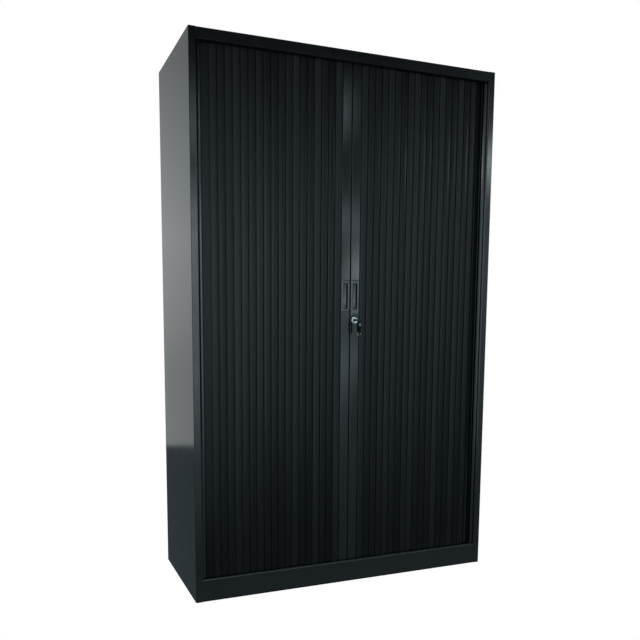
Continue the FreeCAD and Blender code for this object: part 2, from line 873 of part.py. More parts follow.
def key_ring():
    """Flat wire ring that hangs on the edges of the hole in the grip."""
    clear_radius = (ring_outer_radius - ring_wire) * math.cos(math.pi / ring_sides)
    drop = math.sqrt(clear_radius ** 2 - (grip_thickness / 2) ** 2)
    centre_z = grip_hole_level - grip_hole_radius - drop
    low_y = key_pivot_y - ring_wire / 2
    high_y = low_y + ring_wire
    outline = ring_points(stile_mid_x, centre_z, ring_outer_radius, 0, 360, ring_sides)[:-1]
    hole = ring_points(stile_mid_x, centre_z, ring_outer_radius - ring_wire, 0, 360, ring_sides)[:-1]
    ring = prism(outline, "xz", low_y, high_y)
    return ring.cut(prism(hole, "xz", low_y - cut_overrun, high_y + cut_overrun))


# Lining, deck and shelves
def slot_levels():
    """Lower edges of the slots for the shelf clips."""
    count = int((cabinet_height - slot_top_drop - slot_first) / slot_pitch) + 1
    return [slot_first + index * slot_pitch for index in range(count)]


def side_liner():
    """Right inner wall: lipped front flange, slotted side, rolled rear corner and lap for the inner back."""
    front_x = liner_x - liner_flange
    line = [
        (front_x, liner_front_y + liner_lip),
        (front_x, liner_front_y),
        (liner_x, liner_front_y),
        (liner_x, liner_rear_y),
        (shelf_corner_x - liner_lap, liner_rear_y),
    ]
    inside = [0, bend_inside, bend_inside, liner_corner_radius - skin, 0]
    wall = folded_sheet(line, "xy", tray_top, ceiling, inside)
    half = slot_width / 2
    slots = [
        block(liner_inner_x - cut_overrun, liner_x + cut_overrun,
              front_y + column - half, front_y + column + half, level, level + slot_height)
        for column in (slot_front_column, slot_rear_column)
        for level in slot_levels()
    ]
    return wall.cut(group(slots))


def inner_back():
    """Inner back sheet, lapped behind the liners."""
    half_x = shelf_corner_x - liner_lap + inner_back_overlap
    return block(-half_x, half_x, liner_rear_y, liner_rear_y + skin, tray_top, ceiling)


def both_ways(right_half):
    """A closed outline from its right half, listed from the front to the rear."""
    return right_half + [(-x, y) for x, y in reversed(right_half)]


def deck():
    """Floor of the storage space, stepped round the liners and standing on the floor pan."""
    low_y = run_y + track_half + deck_track_gap
    flange_x = liner_x - liner_flange - seat_gap
    front_x = flange_x - deck_corner_cut
    outline = both_ways([
        (front_x, low_y), (flange_x, low_y + deck_corner_cut), (flange_x, shelf_front_y),
        (shelf_half_x, shelf_front_y), (shelf_half_x, shelf_corner_y), (shelf_corner_x, shelf_rear_y),
    ])
    plate = prism(outline, "xy", plinth_height - skin, plinth_height)
    flanges = [block(-front_x, front_x, low_y, low_y + skin, tray_top, plinth_height),
               block(-shelf_corner_x, shelf_corner_x, shelf_rear_y - skin, shelf_rear_y,
                     tray_top, plinth_height)]
    for side in (-1, 1):
        low_x, high_x = sorted((side * (shelf_half_x - skin), side * shelf_half_x))
        flanges.append(block(low_x, high_x, shelf_front_y, shelf_corner_y, tray_top, plinth_height))
    return plate.fuse(flanges).removeSplitter()


def ledge_level(shelf_index):
    """Level of the clip ledges under one shelf."""
    slot = slot_first + (first_shelf_slot + shelf_index * slots_per_shelf) * slot_pitch
    return slot + clip_tab_drop + clip_thickness


def shelf(shelf_index):
    """Shelf with a box-folded front edge, flanges all round and cut rear corners."""
    low = ledge_level(shelf_index)
    top = low + shelf_side_flange
    outline = both_ways([
        (shelf_half_x, shelf_front_y + bend_outside), (shelf_half_x, shelf_corner_y),
        (shelf_corner_x, shelf_rear_y),
    ])
    plate = prism(outline, "xy", top - skin, top)
    line = [
        (shelf_front_y + shelf_front_return, top),
        (shelf_front_y, top),
        (shelf_front_y, top - shelf_front_height),
        (shelf_front_y + shelf_front_return, top - shelf_front_height),
        (shelf_front_y + shelf_front_return, top - shelf_front_height + shelf_front_lip),
    ]
    inside = [0, bend_inside, 0, 0, 0]
    pieces = [folded_sheet(line, "yz", -shelf_half_x, shelf_half_x, inside)]
    pieces.append(block(-shelf_corner_x, shelf_corner_x, shelf_rear_y - skin, shelf_rear_y, low, top))
    for side in (-1, 1):
        low_x, high_x = sorted((side * (shelf_half_x - skin), side * shelf_half_x))
        pieces.append(block(low_x, high_x, shelf_front_y + bend_outside, shelf_corner_y, low, top))
    return plate.fuse(pieces).removeSplitter()


def shelf_clips(shelf_index):
    """Four clips under one shelf, each hooked through a slot of a liner."""
    ledge = ledge_level(shelf_index)
    thick = clip_thickness
    angle = [
        (liner_inner_x - clip_ledge, ledge), (liner_inner_x - clip_ledge, ledge - thick),
        (liner_inner_x - thick, ledge - thick), (liner_inner_x - thick, ledge - clip_height),
        (liner_inner_x, ledge - clip_height), (liner_inner_x, ledge),
    ]
    tab_top = ledge - clip_tab_drop
    hook_x = liner_x + seat_gap
    clips = []
    for column in (slot_front_column, slot_rear_column):
        middle = front_y + column
        body = prism(angle, "xz", middle - clip_width / 2, middle + clip_width / 2)
        half = clip_tab_width / 2
        tab = block(liner_inner_x, hook_x + thick, middle - half, middle + half, tab_top - thick, tab_top)
        hook = block(hook_x, hook_x + thick, middle - half, middle + half,
                     tab_top - clip_hook_length, tab_top)
        clip = body.fuse([tab, hook]).removeSplitter()
        clips += [clip, mirrored(clip)]
    return group(clips)


# Levelling feet
def foot_stud(x, y):
    """Stud of a levelling foot."""
    return small_round(x, y, foot_stud_bottom, foot_stud_top, foot_stud_radius)


def foot_pad(x, y):
    """Moulded foot pad round the lower end of the stud."""
    return few_sided_turn(x, y, [
        (foot_pad_radius, 0), (foot_pad_radius, foot_pad_rim), (foot_pad_neck_radius, foot_pad_height),
        (foot_stud_radius, foot_pad_height), (foot_stud_radius, foot_stud_bottom),
    ])


def foot_nuts():
    """Nuts under the floor pan that the studs turn in."""
    high = tray_top - skin
    low = high - foot_nut_height
    nuts = []
    for x, y in foot_places:
        nut = prism(hexagon(foot_nut_across, "xy", x, y), "xy", low, high)
        bore = small_round(x, y, low - cut_overrun, high + cut_overrun, foot_stud_radius + running_fit)
        nuts.append(nut.cut(bore))
    return group(nuts)


# Write every sub-part
os.makedirs("parts", exist_ok=True)

write("side_panel_right", side_panel())
write("side_panel_left", mirrored(side_panel()))
write("top_panel", top_panel())
write("plinth", plinth())
write("floor_pan", floor_pan())
write("ceiling_pan", ceiling_pan())
write("back_panel", back_panel())
write("inner_back", inner_back())
write("side_liner_right", side_liner())
write("side_liner_left", mirrored(side_liner()))

write("track_bottom_right", bottom_track())
write("track_bottom_left", mirrored(bottom_track()))
write("track_top_right", top_track())
write("track_top_left", mirrored(top_track()))
write("centre_stops", centre_stops())

write("curtain_right", front_slats())
write("curtain_left", mirrored(front_slats()))
write("curtain_end_right", bend_slats())
write("curtain_end_left", mirrored(bend_slats()))

write("stile_right", right_stile())
write("stile_left", mirrored(stile()))
write("handle_right", flush_handle(lock_plate_rise))
write("handle_left", mirrored(flush_handle(handle_plate_rise)))
write("stile_glides_right", stile_glides())
write("stile_glides_left", mirrored(stile_glides()))
write("stile_buffer_right", stile_buffer())
write("stile_buffer_left", mirrored(stile_buffer()))

write("lock_housing", lock_housing())
write("lock_nut", lock_nut())
write("lock_core", lock_core())
write("lock_cam", lock_cam())
write("lock_keeper", lock_keeper())

write("key_blade", key_blade())
write("key_pin", key_pin())
write("key_collar", key_collar())
write("key_grip", key_grip())
write("key_ring", key_ring())

write("deck", deck())
for number in range(shelf_count):
    write("shelf_%d" % (number + 1), shelf(number))
    write("shelf_clips_%d" % (number + 1), shelf_clips(number))

write("foot_nuts", foot_nuts())
for place, (foot_x, foot_y) in zip(("left_front", "left_rear", "right_front", "right_rear"), foot_places):
    write("foot_stud_" + place, foot_stud(foot_x, foot_y))
    write("foot_pad_" + place, foot_pad(foot_x, foot_y))
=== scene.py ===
import json
import math

import bmesh
import bpy
from mathutils import Matrix, Vector


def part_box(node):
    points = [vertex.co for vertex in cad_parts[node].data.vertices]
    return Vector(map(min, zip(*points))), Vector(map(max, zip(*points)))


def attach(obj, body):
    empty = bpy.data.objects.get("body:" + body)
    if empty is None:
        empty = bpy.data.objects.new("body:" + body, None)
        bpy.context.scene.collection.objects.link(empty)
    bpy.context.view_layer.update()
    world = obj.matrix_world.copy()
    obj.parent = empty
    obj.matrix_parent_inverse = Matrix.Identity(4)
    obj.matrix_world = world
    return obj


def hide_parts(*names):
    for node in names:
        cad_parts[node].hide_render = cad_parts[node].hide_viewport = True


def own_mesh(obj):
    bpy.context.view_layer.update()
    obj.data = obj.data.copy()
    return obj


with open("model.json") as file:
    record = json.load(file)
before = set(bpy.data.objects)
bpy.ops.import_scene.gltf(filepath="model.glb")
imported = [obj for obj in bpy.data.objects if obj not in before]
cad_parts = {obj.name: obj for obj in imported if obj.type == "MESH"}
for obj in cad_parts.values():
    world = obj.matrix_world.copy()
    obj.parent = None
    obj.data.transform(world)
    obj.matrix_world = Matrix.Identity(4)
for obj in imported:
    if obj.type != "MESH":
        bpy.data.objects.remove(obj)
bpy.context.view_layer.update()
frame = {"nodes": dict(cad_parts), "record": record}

# Dresses the roll front tool cabinet. Metres, +Z up, front towards -Y, the floor at zero.

nodes = frame["nodes"]

# Places read from the frame
RIGHT, LEFT = 1, -1
SIDE_NAMES = {RIGHT: "right", LEFT: "left"}
carcass_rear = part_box("side_panel_right")[1].y
stile_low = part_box("stile_right")[0]
curtain_low, curtain_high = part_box("curtain_right")
bezel_low, bezel_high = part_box("lock_housing")
core_low, core_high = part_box("lock_core")
blade_low, blade_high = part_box("key_blade")
collar_low, collar_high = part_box("key_collar")
grip_low, grip_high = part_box("key_grip")
ring_low, ring_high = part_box("key_ring")
plinth_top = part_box("plinth")[1].z
rail_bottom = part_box("top_panel")[0].z
back_low, back_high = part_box("back_panel")
cam_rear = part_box("lock_cam")[1].y

lock_x = (bezel_low.x + bezel_high.x) / 2
lock_z = (bezel_low.z + bezel_high.z) / 2
bezel_radius = (bezel_high.x - bezel_low.x) / 2
core_radius = (core_high.x - core_low.x) / 2

# Lock and key, as the solids have them
BARREL_RADIUS = 0.0095
EYE_RADIUS = 0.005
PIN_RADIUS = 0.0015
key_pivot_y = blade_low.y + EYE_RADIUS
collar_half_depth = (collar_high.y - collar_low.y) / 2

# Slats, as the solids have them
SLATS_ON_FRONT = 18
SLATS_IN_BEND = 3
SLAT_PITCH = 0.0273
SLAT_GROOVE = 0.0023
SOCKET_COVER = 0.0019
SLAT_CROWN = 0.0006
SLAT_HALF = 0.004
HINGE_SETBACK = 0.0012
BEAD_RADIUS = 0.0015
SOCKET_RADIUS = 0.00175
SOCKET_OUTER_RADIUS = 0.0028
NECK_HALF = 0.00055
BEND_RADIUS = 0.0488
BEND_X = 0.535
SLAT_EDGE_RADIUS = 0.0005
CROWN_STEPS = 10
SOCKET_MOUTH_DEG = 27
SOCKET_END_DEG = 121
SLAT_WANDER_DEG = 0.5
STILE_WIDTH = 0.035
first_hinge_x = stile_low.x + STILE_WIDTH + SLAT_GROOVE + SOCKET_COVER
hinge_y = stile_low.y + SLAT_HALF + HINGE_SETBACK

# Camera, solved from the corners of the carcass
PHOTO_SIZE = 640.0
FOCAL_PIXELS = 713.403
CENTRE_PIXEL_X = 299.753
CENTRE_PIXEL_Y = 403.633
SENSOR = 36.0
CAMERA_PLACE = Vector((-1.166, -2.647, 1.0169))
CAMERA_HEADING = 0.380952
CAMERA_PITCH = -0.122134
CAMERA_ROLL = 0.0037415


# Node helpers
class Shader:
    """A node tree of a material or world, with short ways to add and link its nodes."""

    def __init__(self, tree):
        self.tree = tree
        tree.nodes.clear()

    def feed(self, socket, value):
        """Links a socket to another one, or sets it to a plain value."""
        if isinstance(value, bpy.types.NodeSocket):
            self.tree.links.new(value, socket)
        else:
            socket.default_value = value

    def node(self, kind, **values):
        """Adds a node. Values name its properties or its sockets, and a socket takes a number or a socket."""
        made = self.tree.nodes.new(kind)
        for name, value in values.items():
            if hasattr(made, name) and name not in made.inputs:
                setattr(made, name, value)
        for name, value in values.items():
            label = name.replace("_", " ").lower()
            found = [s for s in made.inputs if s.name.lower() == label or s.identifier == name]
            if found:
                self.feed(found[0], value)
        return made

    def math(self, operation, first, second=0.5):
        """Result of a sum on one or two numbers."""
        made = self.tree.nodes.new("ShaderNodeMath")
        made.operation = operation
        self.feed(made.inputs[0], first)
        self.feed(made.inputs[1], second)
        return made.outputs[0]

    def blend(self, factor, first, second):
        """Mixes two colours."""
        made = self.tree.nodes.new("ShaderNodeMix")
        made.data_type = "RGBA"
        for index, value in ((0, factor), (6, first), (7, second)):
            self.feed(made.inputs[index], value)
        return made.outputs[2]

    def number_blend(self, factor, first, second):
        """Mixes two numbers."""
        made = self.tree.nodes.new("ShaderNodeMix")
        for index, value in ((0, factor), (2, first), (3, second)):
            self.feed(made.inputs[index], value)
        return made.outputs[0]

    def spread(self, value, low, high, to_low, to_high):
        """Maps a range of a value onto another range."""
        made = self.tree.nodes.new("ShaderNodeMapRange")
        for index, number in enumerate((value, low, high, to_low, to_high)):
            self.feed(made.inputs[index], number)
        return made.outputs[0]

    def curve(self, value, low, high, points):
        """Reads a value off a curve of straight stretches through points."""
        made = self.tree.nodes.new("ShaderNodeValToRGB")
        top = max(level for place, level in points)
        stops = made.color_ramp.elements
        while len(stops) < len(points):
            stops.new(1.0)
        for stop, (place, level) in zip(stops, points):
            stop.position = (place - low) / (high - low)
            stop.color = (level / top, level / top, level / top, 1.0)
        self.feed(made.inputs[0], self.spread(value, low, high, 0.0, 1.0))
        return self.math("MULTIPLY", made.outputs[0], top)

    def band(self, value, low, high, soft):
        """One between two values, falling to nothing over a soft edge outside them."""
        middle, half = (low + high) / 2, (high - low) / 2
        away = self.math("ABSOLUTE", self.math("SUBTRACT", value, middle))
        return self.spread(away, half, half + soft, 1.0, 0.0)

    def choose(self, factor, first, second, output="ShaderNodeOutputMaterial"):
        """Mixes two shaders and makes the result the surface."""
        mixed = self.tree.nodes.new("ShaderNodeMixShader")
        for socket, value in zip(mixed.inputs, (factor, first.outputs[0], second.outputs[0])):
            self.feed(socket, value)
        self.node(output, Surface=mixed.outputs[0])


def rgba(colour):
    """Colour with its fourth number."""
    return (*colour, 1.0)


# Slow change of colour and patches of handling: the scale of each noise, and the part of it that counts
SLOW_SCALE, SLOW_RANGE = 5.0, (0.35, 0.65)
PATCH_SCALE, PATCH_RANGE = 22.0, (0.3, 0.75)
BUMP_STRENGTH = 0.6
DUST_COLOUR = (0.10, 0.10, 0.095)
DUST_TOP = 0.12
DUST_RANGE = (0.3, 0.8)
# Painted highlight on the plinth's edge from this far under its top, and matt paint up to this far above the
# rail's lower edge
LEDGE_HIGHLIGHT_DROP = 0.0022
LEDGE_HIGHLIGHT_COLOUR = (0.046, 0.052, 0.056)
FOLD_RISE = 0.0024
FOLD_SOFT = 0.0004
FOLD_ROUGH = 0.45
FOLD_SHEEN = 0.15
SLAT_SHINE = 0.22
SLAT_ROUGHNESS = 0.055
STREAKS = (1.0, 1.0, 0.012)


def material(name, colour, rough, grain, depth, metal=0.0, tint=0.12, wear=0.05, dust=0.0,
             brushed=(1.0, 1.0, 1.0), sheen=0.5, cells=None, ledge_highlight=None, fold=None):
    """Procedural finish.

    The grain's scale and depth make the bump, slow noise varies the colour, and wear is how far patches of
    handling change the roughness. Dust settles near the floor. Cells are the start of the first slat and the
    pitch, and give each slat a tone of its own. A ledge highlight is the height from which the plinth's edge
    is painted lighter, a painted highlight for light from above, and a fold the height up to which the rail's
    edge is matt.
    """
    made = bpy.data.materials.new(name)
    made.use_nodes = True
    shader = Shader(made.node_tree)
    place = shader.node("ShaderNodeTexCoord").outputs["Object"]
    across, _, height = shader.node("ShaderNodeSeparateXYZ", Vector=place).outputs
    along = shader.node("ShaderNodeMapping", Vector=place, Scale=brushed).outputs[0]
    slow = shader.node("ShaderNodeTexNoise", Vector=place, Scale=SLOW_SCALE, Detail=4.0).outputs[0]
    fine = shader.node("ShaderNodeTexNoise", Vector=along, Scale=grain, Detail=2.0).outputs[0]
    patches = shader.node("ShaderNodeTexNoise", Vector=along, Scale=PATCH_SCALE, Detail=5.0).outputs[0]

    dark = rgba([c * (1 - tint) for c in colour])
    light = rgba([c * (1 + tint) for c in colour])
    toned = shader.blend(shader.spread(slow, *SLOW_RANGE, 0.0, 1.0), dark, light)
    worn = shader.spread(patches, *PATCH_RANGE, rough - wear, rough + wear)
    shine = sheen
    if cells:
        start, pitch = cells
        from_start = shader.math("SUBTRACT", shader.math("ABSOLUTE", across), start)
        number = shader.math("FLOOR", shader.math("DIVIDE", from_start, pitch))
        signed = shader.math("MULTIPLY", shader.math("ADD", number, 50.0), shader.math("SIGN", across))
        tone = shader.node("ShaderNodeTexWhiteNoise", noise_dimensions="1D", W=signed).outputs[0]
        worn = shader.math("ADD", worn, shader.spread(tone, 0.0, 1.0, -SLAT_ROUGHNESS, SLAT_ROUGHNESS))
        shine = shader.spread(tone, 0.0, 1.0, sheen * (1 - SLAT_SHINE), sheen * (1 + SLAT_SHINE))
    if fold:
        shine = shader.spread(height, fold, fold + FOLD_SOFT, FOLD_SHEEN, sheen)
        worn = shader.math("ADD", worn, shader.spread(height, fold, fold + FOLD_SOFT, FOLD_ROUGH, 0.0))
    if dust:
        low = shader.spread(height, 0.0, DUST_TOP, 1.0, 0.0)
        settled = shader.math("MULTIPLY", low, shader.spread(patches, *DUST_RANGE, 0.0, dust))
        toned = shader.blend(settled, toned, rgba(DUST_COLOUR))
    # The plinth's top edge is painted lighter here: a painted highlight for the light from above.
    if ledge_highlight:
        above = shader.spread(height, ledge_highlight, ledge_highlight + FOLD_SOFT, 0.0, 1.0)
        toned = shader.blend(above, toned, rgba(LEDGE_HIGHLIGHT_COLOUR))
    bump = shader.node("ShaderNodeBump", Height=fine, Strength=BUMP_STRENGTH, Distance=depth)
    surface = shader.node("ShaderNodeBsdfPrincipled", Base_Color=toned, Metallic=metal, Roughness=worn,
                          Normal=bump.outputs[0], Specular_IOR_Level=shine)
    shader.node("ShaderNodeOutputMaterial", Surface=surface.outputs[0])
    return made


def finishes():
    """One finish for each material slot of the record, and a few for pieces that differ from their slot."""
    coat = {"colour": (0.0022, 0.0026, 0.0028), "rough": 0.13, "grain": 420.0, "depth": 0.000005,
            "wear": 0.02}
    plated = {"grain": 400.0, "depth": 0.000003, "metal": 1.0, "tint": 0.04, "wear": 0.02}
    cells = (first_hinge_x - SOCKET_COVER, SLAT_PITCH)
    return {
        "carcass": material("powder_coat", **coat, dust=0.03),
        # The plinth's finish paints its top edge lighter, a painted highlight.
        "plinth": material("powder_coat_low_highlit", **coat, dust=0.03, ledge_highlight=plinth_top - LEDGE_HIGHLIGHT_DROP),
        "rail": material("powder_coat_high", **coat, fold=rail_bottom + FOLD_RISE),
        "lining": material("powder_coat_inside", (0.0060, 0.0070, 0.0074), 0.32, 420.0, 0.00002),
        "slat_plastic": material("slat_plastic", (0.0020, 0.0024, 0.0026), 0.26, 520.0, 0.00002,
                                 brushed=STREAKS, dust=0.04, sheen=0.24, cells=cells),
        "stile_plastic": material("stile_plastic", (0.0022, 0.0026, 0.0028), 0.11, 420.0, 0.000004,
                                  wear=0.02, brushed=STREAKS, dust=0.03),
        "handle_plastic": material("handle_plastic", (0.0030, 0.0036, 0.0038), 0.20, 1800.0, 0.000003,
                                   wear=0.03, sheen=0.95),
        "track_plastic": material("track_plastic", (0.0060, 0.0064, 0.0064), 0.34, 700.0, 0.00002, dust=0.2),
        "moulded_plastic": material("moulded_plastic", (0.0040, 0.0042, 0.0044), 0.30, 2400.0, 0.00002),
        "grip_plastic": material("grip_plastic", (0.0030, 0.0031, 0.0032), 0.50, 2400.0, 0.00002, sheen=0.12),
        "chrome": material("chrome", (0.62, 0.63, 0.64), 0.10, **plated),
        # Plating painted dark for the key's fork and shank: a painted shade for the dark that the chrome
        # mirrors.
        "chrome_painted_dark": material("chrome_painted_dark", (0.085, 0.088, 0.092), 0.16, **plated),
        "zinc_steel": material("zinc_steel", (0.40, 0.41, 0.43), 0.28, 500.0, 0.00001, metal=1.0,
                               brushed=STREAKS),
        "rubber": material("rubber", (0.0060, 0.0062, 0.0062), 0.62, 1200.0, 0.00006, sheen=0.3),
    }


finish = finishes()

# Nodes that have another finish than their slot's
OWN_FINISH = {"plinth": "plinth", "top_panel": "rail", "stile_left": "stile_plastic",
              "stile_right": "stile_plastic"}
for lining in ("inner_back", "side_liner_left", "side_liner_right", "deck", "shelf_1", "shelf_2", "shelf_3",
               "shelf_4", "floor_pan", "ceiling_pan"):
    OWN_FINISH[lining] = "lining"


def paint_nodes():
    """Gives every node of the frame its finish."""
    slots = {part["node"]: part["material_slot"] for part in frame["record"]["subparts"]}
    for name, node in nodes.items():
        node.data.materials.clear()
        node.data.materials.append(finish[OWN_FINISH.get(name, slots[name])])


# Mesh helpers
def built_mesh(name, build):
    """Mesh from a bmesh function, with its faces turned outwards."""
    work = bmesh.new()
    build(work)
    bmesh.ops.recalc_face_normals(work, faces=work.faces)
    mesh = bpy.data.meshes.new(name)
    work.to_mesh(mesh)
    work.free()
    return mesh


def mesh_object(name, build, look, body, smooth_angle=40.0):
    """Makes one piece from a bmesh function, with its finish, on its body."""
    return place_mesh(name, built_mesh(name, build), look, body, smooth_angle)


def place_mesh(name, mesh, look, body, smooth_angle=40.0):
    """Puts a mesh into the scene as one piece."""
    made = bpy.data.objects.new(name, mesh)
    bpy.context.scene.collection.objects.link(made)
    mesh.materials.clear()
    mesh.materials.append(finish[look])
    mesh.shade_smooth()
    mesh.set_sharp_from_angle(angle=math.radians(smooth_angle))
    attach(made, body)
    return made


def ring_of(work, points):
    """Adds a closed loop of vertices."""
    return [work.verts.new(p) for p in points]


def join_rings(work, rings, closed=False):
    """Joins rings of equal length with faces, one after the other."""
    pairs = list(zip(rings, rings[1:]))
    if closed:
        pairs.append((rings[-1], rings[0]))
    for first, second in pairs:
        count = len(first)
        for index in range(count):
            after = (index + 1) % count
            work.faces.new((first[index], first[after], second[after], second[index]))


def arc(centre_a, centre_b, radius, start_deg, end_deg, steps):
    """Evenly spaced points on an arc, both ends included."""
    points = []
    for step in range(steps + 1):
        angle = math.radians(start_deg + (end_deg - start_deg) * step / steps)
        points.append((centre_a + radius * math.cos(angle), centre_b + radius * math.sin(angle)))
    return points


def rounded_rectangle(half_a, half_b, radius, steps=6):
    """Outline of a rectangle with round corners, about the origin."""
    points = []
    for corner_a, corner_b, start in ((1, 1, 0), (-1, 1, 90), (-1, -1, 180), (1, -1, 270)):
        centre_a, centre_b = corner_a * (half_a - radius), corner_b * (half_b - radius)
        points += arc(centre_a, centre_b, radius, start, start + 90, steps)
    return points


def lathe(work, profile, centre, axis_index, steps, closed=False):
    """Turns a profile of radii and levels about an axis, and joins its ends or gives them flat faces."""
    rings = []
    for radius, level in profile:
        ring = []
        for a, b in arc(0, 0, radius, 0, 360, steps)[:-1]:
            place = [a, b]
            place.insert(axis_index, level)
            ring.append(Vector(place) + centre)
        rings.append(ring_of(work, ring))
    join_rings(work, rings, closed)
    if not closed:
        for ring in (rings[0], rings[-1]):
            work.faces.new(ring)


# Copies placed by Geometry Nodes
def copies_group():
    """Node group that puts a copy of a piece on each point, turned by the point's own angle."""
    group = bpy.data.node_groups.new("copies_on_points", "GeometryNodeTree")
    sockets = {}
    for name, kind in (("Places", "NodeSocketGeometry"), ("Piece", "NodeSocketObject"),
                       ("Finish", "NodeSocketMaterial"), ("Wander", "NodeSocketFloat"),
                       ("Seed", "NodeSocketInt")):
        sockets[name] = group.interface.new_socket(name, in_out="INPUT", socket_type=kind).identifier
    group.interface.new_socket("Copies", in_out="OUTPUT", socket_type="NodeSocketGeometry")
    links, made = group.links, group.nodes
    entry, leave = made.new("NodeGroupInput"), made.new("NodeGroupOutput")
    piece = made.new("GeometryNodeObjectInfo")
    turn = made.new("GeometryNodeInputNamedAttribute")
    turn.data_type = "FLOAT"
    turn.inputs[0].default_value = "turn"
    wander = made.new("FunctionNodeRandomValue")
    wander.data_type = "FLOAT"
    opposite = made.new("ShaderNodeMath")
    opposite.operation = "MULTIPLY"
    opposite.inputs[1].default_value = -1.0
    added = made.new("ShaderNodeMath")
    about_z = made.new("ShaderNodeCombineXYZ")
    put = made.new("GeometryNodeInstanceOnPoints")
    real = made.new("GeometryNodeRealizeInstances")
    paint = made.new("GeometryNodeSetMaterial")
    links.new(entry.outputs["Piece"], piece.inputs["Object"])
    links.new(entry.outputs["Wander"], opposite.inputs[0])
    low_value, high_value = [s for s in wander.inputs if s.enabled and s.name in ("Min", "Max")]
    links.new(opposite.outputs[0], low_value)
    links.new(entry.outputs["Wander"], high_value)
    links.new(entry.outputs["Seed"], wander.inputs["Seed"])
    links.new([s for s in turn.outputs if s.enabled and s.name == "Attribute"][0], added.inputs[0])
    links.new([s for s in wander.outputs if s.enabled][0], added.inputs[1])
    links.new(added.outputs[0], about_z.inputs["Z"])
    links.new(entry.outputs["Places"], put.inputs["Points"])
    links.new(piece.outputs["Geometry"], put.inputs["Instance"])
    links.new(about_z.outputs[0], put.inputs["Rotation"])
    links.new(put.outputs["Instances"], real.inputs[0])
    links.new(real.outputs[0], paint.inputs["Geometry"])
    links.new(entry.outputs["Finish"], paint.inputs["Material"])
    links.new(paint.outputs[0], leave.inputs[0])
    return group, sockets


copies, copies_sockets = copies_group()


def repeat(name, build, places, look, body, wander=0.0, seed=1):
    """One piece made of copies of a small mesh, each at a place with a turn about Z."""
    pattern = bpy.data.objects.new(name + "_one", built_mesh(name + "_one", build))
    bpy.context.scene.collection.objects.link(pattern)

    points = bpy.data.meshes.new(name + "_places")
    points.from_pydata([place for place, turn in places], [], [])
    turns = points.attributes.new("turn", "FLOAT", "POINT")
    turns.data.foreach_set("value", [turn for place, turn in places])
    carrier = bpy.data.objects.new(name + "_places", points)
    bpy.context.scene.collection.objects.link(carrier)
    modifier = carrier.modifiers.new("copies", "NODES")
    modifier.node_group = copies
    modifier[copies_sockets["Piece"]] = pattern
    modifier[copies_sockets["Finish"]] = finish[look]
    modifier[copies_sockets["Wander"]] = wander
    modifier[copies_sockets["Seed"]] = seed
    bpy.context.view_layer.update()
    mesh = bpy.data.meshes.new_from_object(carrier.evaluated_get(bpy.context.evaluated_depsgraph_get()))
    for helper in (carrier, pattern):
        bpy.data.objects.remove(helper)
    return place_mesh(name, mesh, look, body)


# Curtains
def slat_outline():
    """Section of one slat with its socket at the origin, its front towards -Y and its bead towards +X."""
    front = -(SLAT_HALF + HINGE_SETBACK)
    edge = front + SLAT_CROWN
    end_x = SLAT_PITCH - SOCKET_COVER - SLAT_GROOVE
    round_over = SLAT_EDGE_RADIUS
    crown = []
    for step in range(CROWN_STEPS + 1):
        share = step / CROWN_STEPS
        x = end_x - round_over + (-SOCKET_COVER + 2 * round_over - end_x) * share
        crown.append((x, edge - SLAT_CROWN * (1 - (2 * share - 1) ** 2)))
    right_edge = arc(end_x - round_over, edge + round_over, round_over, 0, -90, 3)
    left_edge = arc(-SOCKET_COVER + round_over, edge + round_over, round_over, 270, 180, 3)
    mouth = [(-SOCKET_COVER, -SOCKET_COVER * math.tan(math.radians(SOCKET_MOUTH_DEG)))]
    socket = arc(0, 0, SOCKET_RADIUS, SOCKET_MOUTH_DEG - 180, SOCKET_END_DEG, 12)
    lip = arc(0, 0, SOCKET_OUTER_RADIUS, SOCKET_END_DEG, 90, 4)
    neck_deg = math.degrees(math.asin(NECK_HALF / BEAD_RADIUS))
    bead = arc(SLAT_PITCH, 0, BEAD_RADIUS, 180 - neck_deg, neck_deg - 180, 12)
    back = [(end_x, SOCKET_OUTER_RADIUS), (end_x, NECK_HALF)]
    front_face = right_edge[:-1] + crown + left_edge[1:]
    return front_face + mouth + socket + lip + back + bead + [(end_x, -NECK_HALF)]


def slat(side):
    """Builder of one slat for a side of the cabinet."""
    def build(work):
        outline = [(side * x, y) for x, y in slat_outline()]
        low = ring_of(work, [(x, y, curtain_low.z) for x, y in outline])
        high = ring_of(work, [(x, y, curtain_high.z) for x, y in outline])
        join_rings(work, [low, high])
        work.faces.new(low)
        work.faces.new(high)
    return build


def bend_hinges():
    """The hinge points of the slats in the bend, from the last straight slat on, for the right side."""
    bend_y = hinge_y + BEND_RADIUS
    x = first_hinge_x + SLATS_ON_FRONT * SLAT_PITCH
    reach = math.hypot(BEND_X - x, BEND_RADIUS)
    share = (reach ** 2 + BEND_RADIUS ** 2 - SLAT_PITCH ** 2) / (2 * reach * BEND_RADIUS)
    turn = math.acos(share) - math.atan2(BEND_X - x, BEND_RADIUS)
    chord_turn = 2 * math.asin(SLAT_PITCH / (2 * BEND_RADIUS))
    hinges = [(x, hinge_y)]
    for index in range(SLATS_IN_BEND):
        angle = turn + index * chord_turn
        hinges.append((BEND_X + BEND_RADIUS * math.sin(angle), bend_y - BEND_RADIUS * math.cos(angle)))
    return hinges


def make_curtains():
    """Both curtains: the straight slats across the front and the slats in the bend, all on the cabinet."""
    for side, name in SIDE_NAMES.items():
        straight = [((side * (first_hinge_x + index * SLAT_PITCH), hinge_y, 0.0), 0.0)
                    for index in range(SLATS_ON_FRONT)]
        curtain = repeat("slats_" + name, slat(side), straight, "slat_plastic", "cabinet",
                         wander=math.radians(SLAT_WANDER_DEG), seed=3 + side)
        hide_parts("curtain_" + name)
        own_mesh(curtain)
        hinges = bend_hinges()
        bent = []
        for (x, y), (next_x, next_y) in zip(hinges, hinges[1:]):
            bent.append(((side * x, y, 0.0), side * math.atan2(next_y - y, next_x - x)))
        end = repeat("slats_in_bend_" + name, slat(side), bent, "slat_plastic", "cabinet",
                     seed=5)
        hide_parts("curtain_end_" + name)


